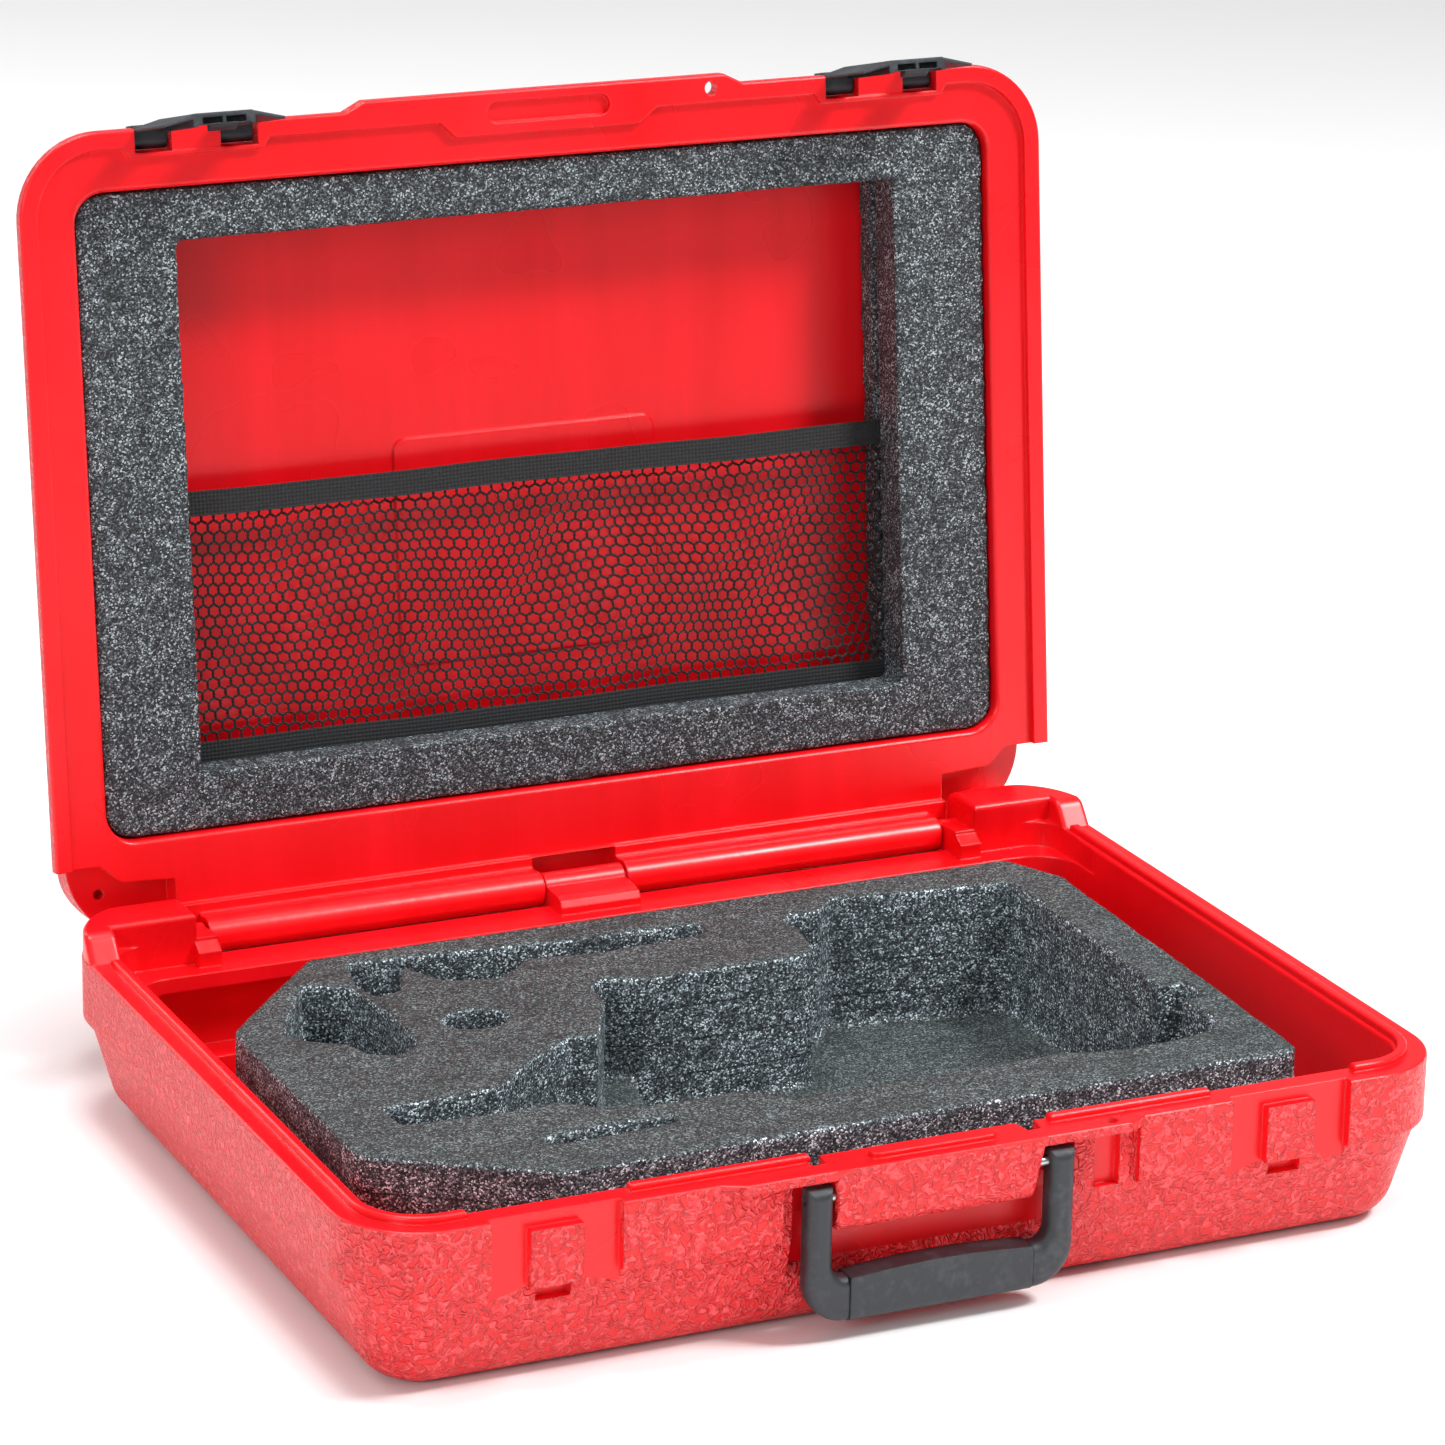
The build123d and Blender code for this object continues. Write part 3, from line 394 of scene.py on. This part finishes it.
@dataclass(frozen=True)
class CutFoam:
    """Charcoal closed-cell foam: sparkling cells, a smoother skin and laminated cut walls."""

    facing: Facing = Facing.FLAT
    cell_scale: float = 1450.0
    dark: Colour = (0.006, 0.007, 0.008, 1.0)
    low: Colour = (0.017, 0.021, 0.024, 1.0)
    middle: Colour = (0.050, 0.060, 0.067, 1.0)
    pale: Colour = (0.15, 0.18, 0.20, 1.0)
    bright: Colour = (0.46, 0.53, 0.56, 1.0)
    skin_stops: tuple[Stop, ...] = (
        (0.16, (0.005, 0.007, 0.007, 1.0)),
        (0.50, (0.022, 0.028, 0.029, 1.0)),
        (0.80, (0.065, 0.080, 0.082, 1.0)),
        (1.0, (0.22, 0.27, 0.28, 1.0)),
    )
    wall_gain: Colour = (2.1, 2.1, 2.1, 1.0)
    cell_depth: float = 0.28 * MM
    first_joint: float = 14.65 * MM
    joint_pitch: float = 16.1 * MM

    def speckle(self, board: Board) -> tuple[bpy.types.NodeSocket, bpy.types.NodeSocket]:
        """Random value of each cell, and how near a place is to its cell's middle."""
        parts = board.node("ShaderNodeSeparateColor", {"Color": board.cells(self.cell_scale, "Color")})
        return parts.outputs["Red"], board.cells(self.cell_scale, "Distance")

    def skin(self, board: Board, speck: bpy.types.NodeSocket) -> bpy.types.NodeSocket:
        """Colour of the sliced upper face, streaked the way the blade went."""
        streak = board.noise(34.0, 4.0, 0.6, 0.8, board.stretched((1.0, 3.2, 2.0), (0.0, 0.0, 0.7)))
        mixed = board.sum("ADD", board.sum("MULTIPLY", speck, 0.8), board.sum("MULTIPLY", streak, 0.35))
        return board.ramp(mixed, self.skin_stops)

    def joints(self, board: Board, wall: bpy.types.NodeSocket) -> bpy.types.NodeSocket:
        """Share of the dark glue lines between the sheets, on walls only."""
        height = board.node("ShaderNodeSeparateXYZ", {"Vector": board.place}).outputs["Z"]
        layer = board.sum("DIVIDE", board.sum("SUBTRACT", height, self.first_joint), self.joint_pitch)
        line = board.level(board.sum("PINGPONG", layer, 0.5), 0.75, 0.0, 0.012, 0.035)
        return board.sum("MULTIPLY", line, wall)

    def make(self) -> bpy.types.Material:
        """Build the material."""
        board = Board(f"foam_{self.facing.value}")
        speck, distance = self.speckle(board)
        blotch = board.noise(110.0, 4.0, 0.65)
        stops = (
            (0.0, self.dark), (0.36, self.low), (0.66, self.middle), (0.86, self.pale), (1.0, self.bright),
        )
        uneven = board.level(blotch, -0.12, 0.12, 0.3, 0.7)
        colour = board.ramp(board.sum("ADD", speck, uneven), stops)
        if self.facing is Facing.FLAT:
            flat = board.level(board.facing("Z"), 0.0, 1.0, 0.55, 0.9)
            wall = board.sum("SUBTRACT", 1.0, flat)
            shaded = board.blend(wall, colour, self.wall_gain, "MULTIPLY")
            colour = board.blend(flat, shaded, self.skin(board, speck))
            colour = board.blend(self.joints(board, wall), colour, self.dark)
        normal = board.bump(board.level(distance, 1.0, 0.0, 0.0, 0.7), self.cell_depth, 0.85)
        rough = board.level(speck, 0.78, 0.40)
        return board.finish(colour, rough, normal, Specular_IOR_Level=0.4)


@dataclass(frozen=True)
class DarkPlastic:
    """Dark grey satin plastic of the handle and latches, with scuffed patches and rounded edges."""

    name: str
    colour: Colour = (0.019, 0.023, 0.028, 1.0)
    scuffed: Colour = (0.060, 0.068, 0.078, 1.0)
    grain: float = 0.16 * MM
    edge: float = 1.4 * MM
    rough: float = 0.40

    def make(self) -> bpy.types.Material:
        """Build the material."""
        board = Board(self.name)
        fine = board.noise(2600.0, 3.0, 0.6)
        drift = board.noise(60.0, 3.0)
        worn = board.noise(240.0, 4.0, 0.7)
        share = board.level(board.sum("MULTIPLY", worn, drift), 0.0, 0.6, 0.24, 0.42)
        colour = board.blend(share, self.colour, self.scuffed)
        rough = board.level(drift, self.rough - 0.06, self.rough + 0.08, 0.3, 0.7)
        normal = board.bump(fine, self.grain, 1.0, board.rounded(self.edge))
        return board.finish(colour, rough, normal, Specular_IOR_Level=0.5)


@dataclass(frozen=True)
class DrawnSteel:
    """Drawn steel wire of the hinge, handle and latch pins."""

    dull: Colour = (0.36, 0.36, 0.37, 1.0)
    bright: Colour = (0.62, 0.62, 0.63, 1.0)

    def make(self) -> bpy.types.Material:
        """Build the material."""
        board = Board("pin_steel")
        line = board.noise(60.0, 4.0, 0.6, 0.0, board.stretched((0.6, 30.0, 30.0)))
        colour = board.blend(line, self.dull, self.bright)
        rough = board.level(line, 0.24, 0.42)
        return board.finish(colour, rough, board.bump(line, 0.04 * MM), Metallic=1.0)


@dataclass(frozen=True)
class Webbing:
    """Black woven elastic band."""

    rib: float = 1100.0

    def make(self) -> bpy.types.Material:
        """Build the material."""
        board = Board("black_webbing")
        weave = board.node("ShaderNodeTexWave", {"Vector": board.place}, wave_type="BANDS",
                           bands_direction="X")
        weave.inputs["Scale"].default_value = self.rib / math.tau
        weave.inputs["Distortion"].default_value = 1.2
        lint = board.noise(900.0, 4.0, 0.7)
        height = board.sum("ADD", weave.outputs["Fac"], board.sum("MULTIPLY", lint, 0.8))
        colour = board.ramp(lint, ((0.3, (0.004, 0.004, 0.005, 1.0)), (0.62, (0.014, 0.015, 0.017, 1.0)),
                                   (0.8, (0.06, 0.06, 0.065, 1.0))))
        return board.finish(colour, 0.78, board.bump(height, 0.16 * MM, 0.8), Sheen_Weight=0.08)


@dataclass(frozen=True)
class NetYarn:
    """Black polyester yarn of the pocket's net."""

    def make(self) -> bpy.types.Material:
        """Build the material."""
        board = Board("net_yarn")
        twist = board.noise(1400.0, 3.0, 0.6)
        colour = board.ramp(twist, ((0.3, (0.003, 0.003, 0.004, 1.0)), (0.75, (0.012, 0.012, 0.014, 1.0))))
        return board.finish(colour, 0.6, board.bump(twist, 0.12 * MM), Sheen_Weight=0.03)


@dataclass(frozen=True)
class PaleFloor:
    """Plain pale studio floor."""

    colour: Colour = (0.93, 0.93, 0.93, 1.0)
    paler: Colour = (0.96, 0.96, 0.96, 1.0)

    def make(self) -> bpy.types.Material:
        """Build the material."""
        board = Board("pale_floor")
        cloud = board.noise(2.0, 2.0)
        shade = board.blend(cloud, self.colour, self.paler)
        return board.finish(shade, 0.9, None, Specular_IOR_Level=0.1)


# ------------------------------------------------------------------ sub-assemblies
@dataclass
class Shells:
    """The moulded base and lid: CAD nodes, dressed face by face."""

    red: MouldedRed = field(default_factory=MouldedRed)
    half_width: float = 250 * MM
    half_depth: float = 186 * MM
    band_bottom: float = 46 * MM
    skin: float = 6.5 * MM
    latch_x: float = 167.5 * MM
    bay_half: float = 28.6 * MM
    bay_depth: float = 2.0 * MM
    corner_reach: float = 38 * MM
    draft: float = 0.42
    base_top: float = 74.5 * MM
    foot: float = 30 * MM
    lid_top: float = 36 * MM
    lid_rim: float = 1.5 * MM

    def outward(self, place: Vector, normal: Vector, inset: float) -> bool:
        """Tell whether a face is on the outside of the side walls.

        Args:
            place: The face's middle, in the part's upright position.
            normal: The face's normal there.
            inset: How far the wall stands in from the rim at that height.

        Returns:
            Whether it is outside.
        """
        near_x = abs(place.x) > self.half_width - inset - self.skin
        near_y = abs(place.y) > self.half_depth - inset - self.skin
        corner_x = abs(place.x) > self.half_width - self.corner_reach
        corner_y = abs(place.y) > self.half_depth - self.corner_reach
        away = normal.x * place.x / self.half_width + normal.y * place.y / self.half_depth
        return (near_x or near_y or (corner_x and corner_y)) and away > 0.25

    def base_wall(self, place: Vector, normal: Vector) -> Wall:
        """Finish of one face of the base."""
        if normal.z < -0.6 and place.z < self.foot:
            return Wall.GRAINED
        inset = max(0.0, (self.band_bottom - place.z)) * self.draft
        in_bay = abs(abs(place.x) - self.latch_x) < self.bay_half and place.z > self.band_bottom
        if in_bay and place.y > self.bay_depth - self.half_depth:
            return Wall.SATIN
        if place.z < self.base_top and self.outward(place, normal, inset):
            return Wall.GRAINED
        return Wall.SATIN

    def lid_wall(self, place: Vector, normal: Vector) -> Wall:
        """Finish of one face of the lid, in its shut position."""
        if normal.z > 0.4 and place.z > self.lid_top:
            return Wall.GRAINED
        inset = max(0.0, place.z) * self.draft
        if place.z > self.lid_rim and self.outward(place, normal, inset):
            return Wall.GRAINED
        return Wall.SATIN

    def paint(self, node: str, choose: Callable[[Vector, Vector], Wall], back: Matrix,
              finishes: Sequence[bpy.types.Material]) -> None:
        """Give each face of a CAD node the finish that a rule chooses.

        Args:
            node: The CAD node's name.
            choose: The rule, from a face's middle and normal.
            back: Matrix that takes the node upright before the rule is asked.
            finishes: The materials, in the order of Wall.
        """
        mesh = frame["nodes"][node].data
        mesh.materials.clear()
        for material in finishes:
            mesh.materials.append(material)
        turn = back.to_3x3()
        for polygon in mesh.polygons:
            polygon.material_index = choose(back @ polygon.center, turn @ polygon.normal).value
        smooth(frame["nodes"][node], 30.0)

    def dress(self) -> None:
        """Dress both shells."""
        finishes = (self.red.grained(), self.red.satin())
        self.paint("base_shell", self.base_wall, Matrix.Identity(4), finishes)
        self.paint("lid_shell", self.lid_wall, HINGE.matrix().inverted(), finishes)
        LOG.info("shells dressed")


@dataclass
class FoamPiece:
    """One body of cut foam, made from one CAD solid or from several glued together."""

    name: str
    nodes: tuple[str, ...]
    body: str
    voxel: float
    rough: float = 0.35 * MM
    grain: float = 1.8 * MM
    lap: float = 0.5 * MM
    wave_size: float = 32 * MM
    wave_height: float = 0.9 * MM

    def sheet(self, node: str, glued: bool) -> bpy.types.Object:
        """Copy one sheet.

        Args:
            node: The CAD node of the sheet.
            glued: Whether another sheet lies on it, so that its upper face rises to meet that one.

        Returns:
            The copy.
        """
        piece = copy_of_node(node, f"{node}_copy")
        top = max(vertex.co.z for vertex in piece.data.vertices)
        if glued:
            for vertex in piece.data.vertices:
                if top - vertex.co.z < self.lap:
                    vertex.co.z += self.lap
        return piece

    def build(self, material: bpy.types.Material) -> bpy.types.Object:
        """Make the piece with soft cut edges and a cellular surface.

        Args:
            material: The foam's finish.

        Returns:
            The finished piece.
        """
        sheets = [self.sheet(node, node is not self.nodes[-1]) for node in self.nodes]
        piece = take(sheets[0])
        for other in sheets[1:]:
            other.select_set(True)
        if len(sheets) > 1:
            bpy.ops.object.join()
        run_modifier(piece, "REMESH", mode="VOXEL", voxel_size=self.voxel, use_smooth_shade=True)
        cloud = bpy.data.textures.new(f"{self.name}_cells", "CLOUDS")
        cloud.noise_scale = self.grain
        cloud.noise_depth = 2
        wave = bpy.data.textures.new(f"{self.name}_wave", "CLOUDS")
        wave.noise_scale = self.wave_size
        for texture, strength in ((cloud, self.rough * 2), (wave, self.wave_height)):
            run_modifier(piece, "DISPLACE", texture=texture, strength=strength, mid_level=0.5,
                         texture_coords="LOCAL")
        smooth(piece, 60.0)
        dress(piece, material)
        settle(piece, self.name)
        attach(piece, self.body)
        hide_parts(*self.nodes)
        LOG.info("%s: %d faces", piece.name, len(piece.data.polygons))
        return piece


@dataclass
class Foam:
    """All the foam of the case."""

    fine: float = 1.9 * MM
    coarse: float = 3.0 * MM
    stack: tuple[str, ...] = (
        "base_foam_pad", *(f"base_foam_sheet_{number}" for number in range(1, 5)),
    )

    def build(self) -> None:
        """Make the stack in the base and the frames in the lid."""
        flat = CutFoam(facing=Facing.FLAT).make()
        upright = CutFoam(facing=Facing.UPRIGHT).make()
        FoamPiece("base_foam_stack", self.stack, "base", self.fine).build(flat)
        frames = (("lid_foam_frame_front", self.fine), ("lid_foam_frame_rear", self.coarse))
        for node, voxel in frames:
            FoamPiece(f"{node}_cut", (node,), "lid", voxel).build(upright)


@dataclass
class NetPocket:
    """The lid's net pocket: a hexagonal net between two elastic bands."""

    left: float = -183.0 * MM
    right: float = 183.0 * MM
    top: float = -15.5 * MM
    bottom: float = 105.0 * MM
    height: float = 31.6 * MM
    side: float = 3.25 * MM
    yarn: float = 0.86 * MM
    weld: float = 0.05 * MM
    band: float = 11.4 * MM
    band_height: float = 30.0 * MM
    band_threads: int = 26
    band_thickness: float = 0.9 * MM
    rib: float = 0.22 * MM
    folds: tuple[tuple[float, float, float, float], ...] = (
        (3.0, 1.1, 0.3, 1.0), (6.5, -1.7, 1.9, 1.0), (11.0, 2.3, 4.0, 0.8),
    )

    def net(self) -> bpy.types.Object:
        """Tile one hexagon over the pocket, trim it, fold it softly and give the yarn its thickness."""
        deselect()
        corner = (self.left, self.top, self.height)
        bpy.ops.mesh.primitive_circle_add(vertices=6, radius=self.side, fill_type="NGON", location=corner)
        piece = bpy.context.object
        bpy.ops.object.mode_set(mode="EDIT")
        bpy.ops.transform.rotate(value=math.pi / 6, orient_axis="Z", center_override=corner)
        bpy.ops.object.mode_set(mode="OBJECT")
        across = math.sqrt(3) * self.side
        bpy.ops.object.mode_set(mode="EDIT")
        bpy.ops.mesh.select_all(action="SELECT")
        bpy.ops.mesh.duplicate_move(TRANSFORM_OT_translate={"value": (across / 2, 1.5 * self.side, 0)})
        bpy.ops.object.mode_set(mode="OBJECT")
        columns = int((self.right - self.left) / across) + 2
        rows = int((self.bottom - self.top) / (3 * self.side)) + 2
        for count, step in ((columns, (across, 0, 0)), (rows, (0, 3 * self.side, 0))):
            run_modifier(piece, "ARRAY", count=count, use_relative_offset=False, use_constant_offset=True,
                         constant_offset_displace=step, use_merge_vertices=True,
                         merge_threshold=self.weld)
        settle(piece, "pocket_net")
        take(piece)
        bpy.ops.object.mode_set(mode="EDIT")
        bpy.ops.mesh.select_all(action="SELECT")
        bpy.ops.mesh.remove_doubles(threshold=self.weld)
        edges = (
            ((self.left, 0, 0), (-1, 0, 0)), ((self.right, 0, 0), (1, 0, 0)),
            ((0, self.top, 0), (0, -1, 0)), ((0, self.bottom, 0), (0, 1, 0)),
        )
        for place, way in edges:
            bpy.ops.mesh.select_all(action="SELECT")
            bpy.ops.mesh.bisect(plane_co=place, plane_no=way, clear_outer=True)
        bpy.ops.object.mode_set(mode="OBJECT")
        for vertex in piece.data.vertices:
            vertex.co = self.folded(vertex.co)
        run_modifier(piece, "WIREFRAME", thickness=self.yarn, use_even_offset=False, use_boundary=True)
        return piece

    def folded(self, place: Vector) -> Vector:
        """Place of a point of the flat net once it hangs in slack folds between its bands."""
        along = (place.x - self.left) / (self.right - self.left)
        down = (place.y - self.top) / (self.bottom - self.top)
        free = math.sin(math.pi * min(1.0, max(0.0, down))) ** 0.7
        ends = min(1.0, 8 * along, 8 * (1 - along))
        fold = 0.0
        for count, slope, phase, size in self.folds:
            fold += size * math.sin(math.tau * (count * along + slope * down) + phase)
        lift = free * ends * (1.9 * fold + 1.5) * MM
        shift_x = free * ends * 2.6 * math.sin(math.tau * (2.4 * along + 0.9 * down) + 0.8) * MM
        shift_y = free * ends * 1.8 * math.sin(math.tau * (3.3 * along - 0.6 * down)) * MM
        lift = max(-1.6 * MM, min(4.5 * MM, lift))
        return Vector((place.x + shift_x, place.y + shift_y, place.z + lift))

    def strap(self, name: str, start: float) -> bpy.types.Object:
        """Make one ribbed band.

        Args:
            name: The band's name.
            start: Its upper edge, in the shut lid's y.

        Returns:
            The band, in the shut lid's place.
        """
        deselect()
        middle = (0.0, start + self.band / 2, self.band_height)
        bpy.ops.mesh.primitive_grid_add(x_subdivisions=120, y_subdivisions=self.band_threads, size=1.0,
                                        location=middle)
        piece = bpy.context.object
        piece.scale = (self.right - self.left + 2 * MM, self.band, 1.0)
        settle(piece, name)
        step = self.band / self.band_threads
        for vertex in piece.data.vertices:
            row = round((vertex.co.y - start) / step)
            slow = math.sin(vertex.co.x * 31.0 + start * 90.0) * 0.35
            quick = math.sin(vertex.co.x * 77.0) * 0.15
            if row % 4 in (1, 2):
                vertex.co.z -= self.rib
            vertex.co.y += (slow + quick) * MM
        run_modifier(piece, "SOLIDIFY", thickness=self.band_thickness, offset=0.0)
        smooth(piece, 40.0)
        return piece

    def build(self) -> None:
        """Make the pocket and hang it in the lid."""
        yarn = NetYarn().make()
        webbing = Webbing().make()
        net = HINGE.hang(self.net())
        dress(net, yarn)
        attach(net, "lid")
        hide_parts("pocket_mesh")
        for name, node, start in (("band_top", "pocket_band_top", -17.9 * MM),
                                  ("band_bottom", "pocket_band_bottom", 97.6 * MM)):
            band = HINGE.hang(self.strap(name, start))
            dress(band, webbing)
            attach(band, "lid")
            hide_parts(node)
        LOG.info("net pocket: %d faces", len(net.data.polygons))


@dataclass
class Fittings:
    """Handle, latches and pins: CAD nodes in better finishes."""

    handle_nodes: tuple[str, ...] = ("handle_bail", "handle_grip")
    latch_nodes: tuple[str, ...] = ("latch_left", "latch_right")
    pin_nodes: tuple[str, ...] = tuple(
        f"{joint}_pin_{hand}" for joint in ("hinge", "handle", "latch") for hand in ("left", "right")
    )

    def dress(self) -> None:
        """Dress all of them."""
        sets = (
            (self.handle_nodes, DarkPlastic("handle_plastic").make()),
            (self.latch_nodes, DarkPlastic("latch_plastic", rough=0.5, grain=0.1 * MM).make()),
            (self.pin_nodes, DrawnSteel().make()),
        )
        for nodes, material in sets:
            for node in nodes:
                dress(frame["nodes"][node], material)
                smooth(frame["nodes"][node], 32.0)
        LOG.info("fittings dressed")


@dataclass
class Studio:
    """Camera, floor and soft lights."""

    camera_place: Triple = (-0.96758, -2.02600, 0.94365)
    heading: float = 25.2416
    tilt: float = 18.3059
    roll: float = -1.0912
    lens: float = 137.53
    film: float = 36.0
    far: float = 50.0
    floor_side: float = 14.0
    floor_gap: float = 0.4 * MM
    sky_low: float = 0.18
    sky_high: float = 0.50

    def camera(self) -> None:
        """Set the camera at its place, looking along its heading and tilt."""
        side, down_angle, roll = (math.radians(a) for a in (self.heading, self.tilt, self.roll))
        ahead = Vector((math.sin(side) * math.cos(down_angle), math.cos(side) * math.cos(down_angle),
                        -math.sin(down_angle)))
        right = Vector((math.cos(side), -math.sin(side), 0.0))
        down = ahead.cross(right)
        image_right = math.cos(roll) * right + math.sin(roll) * down
        image_down = -math.sin(roll) * right + math.cos(roll) * down
        turn = Matrix((image_right, -image_down, -ahead)).transposed()
        bpy.ops.object.camera_add()
        camera = bpy.context.object
        camera.name = "studio_camera"
        camera.matrix_world = Matrix.Translation(self.camera_place) @ turn.to_4x4()
        camera.data.lens = self.lens
        camera.data.sensor_width = self.film
        camera.data.clip_end = self.far
        bpy.context.scene.camera = camera

    def lamp(self, name: str, place: Triple, target: Triple, size: float, power: float) -> None:
        """Add one soft square lamp.

        Args:
            name: The lamp's name.
            place: Where it stands.
            target: What it points at.
            size: Its side, in metres.
            power: Its power, in watts.
        """
        bpy.ops.object.light_add(type="AREA", location=place)
        lamp = bpy.context.object
        lamp.name = name
        lamp.data.energy = power
        lamp.data.size = size
        aim = Vector(target) - Vector(place)
        lamp.rotation_euler = aim.to_track_quat("-Z", "Y").to_euler()

    def sky(self) -> None:
        """Soft surrounding light, stronger from above than from the sides."""
        world = bpy.data.worlds.new("studio_world")
        world.use_nodes = True
        tree = world.node_tree
        where = tree.nodes.new("ShaderNodeTexCoord")
        split = tree.nodes.new("ShaderNodeSeparateXYZ")
        band = tree.nodes.new("ShaderNodeMapRange")
        limits = (
            ("From Min", 0.05), ("From Max", 0.75), ("To Min", self.sky_low), ("To Max", self.sky_high),
        )
        for key, number in limits:
            band.inputs[key].default_value = number
        tree.links.new(where.outputs["Generated"], split.inputs["Vector"])
        tree.links.new(split.outputs["Z"], band.inputs["Value"])
        tree.links.new(band.outputs["Result"], tree.nodes["Background"].inputs["Strength"])
        tree.nodes["Background"].inputs["Color"].default_value = (1.0, 1.0, 1.0, 1.0)
        bpy.context.scene.world = world

    def build(self) -> None:
        """Set up the whole studio."""
        self.camera()
        deselect()
        bpy.ops.mesh.primitive_plane_add(size=self.floor_side, location=(0.0, 0.0, -self.floor_gap))
        floor = settle(bpy.context.object, "floor")
        dress(floor, PaleFloor().make())
        self.lamp("key", (1.4, -1.0, 2.3), (0.05, 0.0, 0.15), 0.6, 66.0)
        self.lamp("top", (-0.2, 0.2, 2.6), (0.0, 0.0, 0.1), 0.9, 47.0)
        self.lamp("fill", (-2.4, -1.8, 1.3), (0.0, 0.0, 0.15), 0.9, 26.0)
        self.lamp("rear", (-1.0, 2.4, 1.6), (0.0, 0.1, 0.2), 1.2, 18.0)
        self.sky()
        bpy.context.scene.view_settings.view_transform = "Standard"
        LOG.info("studio ready")


def main() -> None:
    """Build and dress the case."""
    logging.basicConfig(level=logging.INFO, format="%(name)s: %(message)s")
    Studio().build()
    Shells().dress()
    Fittings().dress()
    Foam().build()
    NetPocket().build()


if __name__ == "__main__":
    main()
